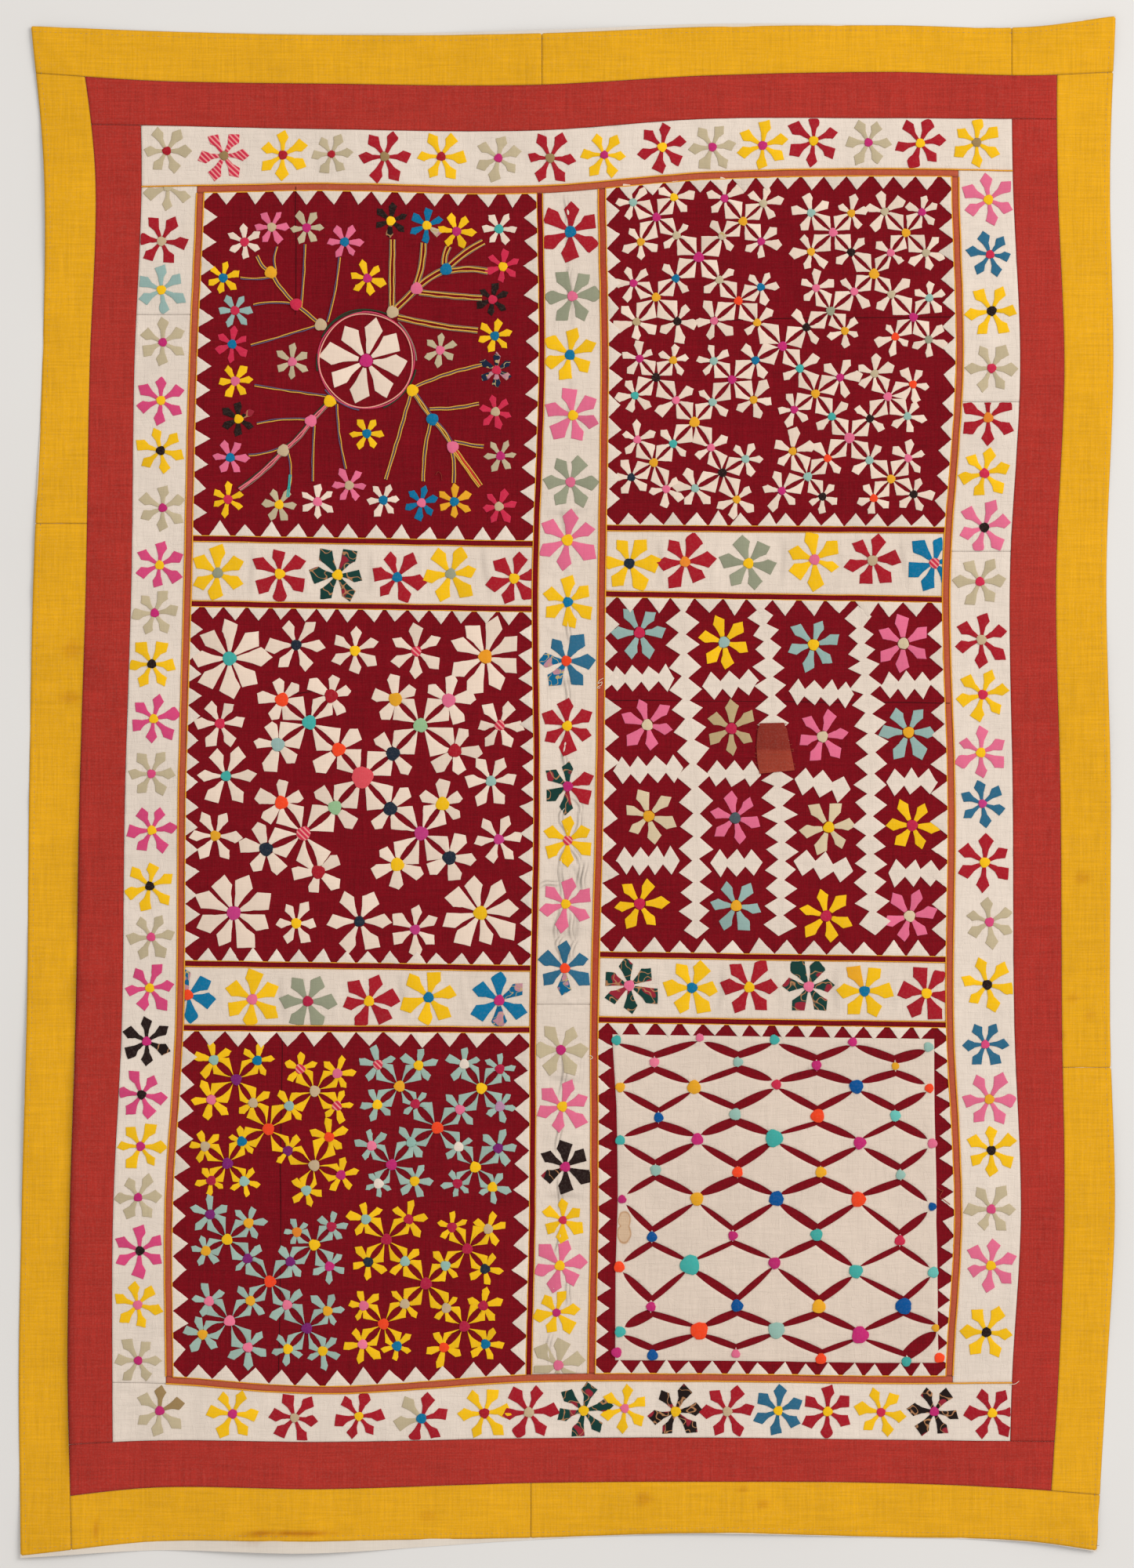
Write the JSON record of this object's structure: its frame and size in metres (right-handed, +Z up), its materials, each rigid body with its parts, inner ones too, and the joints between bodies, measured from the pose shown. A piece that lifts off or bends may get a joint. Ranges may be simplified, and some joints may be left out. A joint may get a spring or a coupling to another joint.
{
  "type": "applique quilt",
  "caption": "Pieced cotton bed quilt laid flat, with bordered maroon panels, saw-toothed frames and flower strips on a plain backing.",
  "frame": {"origin": "under the middle of the quilt's whole box, on the surface it lies on", "axes": "+X to the right of the face, +Y to its upper edge, +Z up, out of the face"},
  "size_m": [1.497, 2.1032, 0.0099],
  "materials": {
    "backing_cotton": "plain woven natural-white cotton",
    "yellow_cotton": "plain woven mustard-yellow cotton",
    "red_cotton": "plain woven brick-red cotton",
    "ivory_cotton": "fine plain ivory cotton",
    "rust_cotton": "plain rust-coloured cotton",
    "maroon_cotton": "plain maroon cotton",
    "mend_cotton": "faded rust-brown cotton with frayed edges"
  },
  "bodies": {
    "root": {"backing": "backing_cotton", "yellow_top_1": "yellow_cotton", "yellow_top_2": "yellow_cotton", "yellow_top_3": "yellow_cotton", "yellow_left_1": "yellow_cotton", "yellow_left_2": "yellow_cotton", "yellow_right_1": "yellow_cotton", "yellow_right_2": "yellow_cotton", "yellow_bottom_1": "yellow_cotton", "yellow_bottom_2": "yellow_cotton", "red_top": "red_cotton", "red_bottom": "red_cotton", "red_left": "red_cotton", "red_right": "red_cotton", "white_top": "ivory_cotton", "white_bottom": "ivory_cotton", "white_left_1": "ivory_cotton", "white_left_2": "ivory_cotton", "white_right_1": "ivory_cotton", "white_right_2": "ivory_cotton", "white_right_3": "ivory_cotton", "rust_top": "rust_cotton", "rust_bottom": "rust_cotton", "rust_left": "rust_cotton", "rust_right": "rust_cotton", "rust_middle": "rust_cotton", "maroon_middle": "maroon_cotton", "middle_1": "ivory_cotton", "middle_2": "ivory_cotton", "cross_left_upper": "ivory_cotton", "maroon_left_upper_above": "maroon_cotton", "maroon_left_upper_below": "maroon_cotton", "cross_left_lower": "ivory_cotton", "maroon_left_lower_above": "maroon_cotton", "maroon_left_lower_below": "maroon_cotton", "cross_right_upper": "ivory_cotton", "maroon_right_upper_above": "maroon_cotton", "maroon_right_upper_below": "maroon_cotton", "cross_right_lower": "ivory_cotton", "maroon_right_lower_above": "maroon_cotton", "maroon_right_lower_below": "maroon_cotton", "panel_stems": "maroon_cotton", "panel_clusters": "maroon_cotton", "panel_blooms": "maroon_cotton", "panel_windows": "maroon_cotton", "panel_colours": "maroon_cotton", "panel_trellis": "maroon_cotton", "teeth_stems": "ivory_cotton", "teeth_clusters": "ivory_cotton", "teeth_blooms": "ivory_cotton", "teeth_windows": "ivory_cotton", "teeth_colours": "ivory_cotton", "teeth_trellis": "ivory_cotton", "trellis_cloth": "ivory_cotton", "chain_1": "ivory_cotton", "chain_2": "ivory_cotton", "chain_3": "ivory_cotton", "mend_patch": "mend_cotton"}
  },
  "joints": []
}
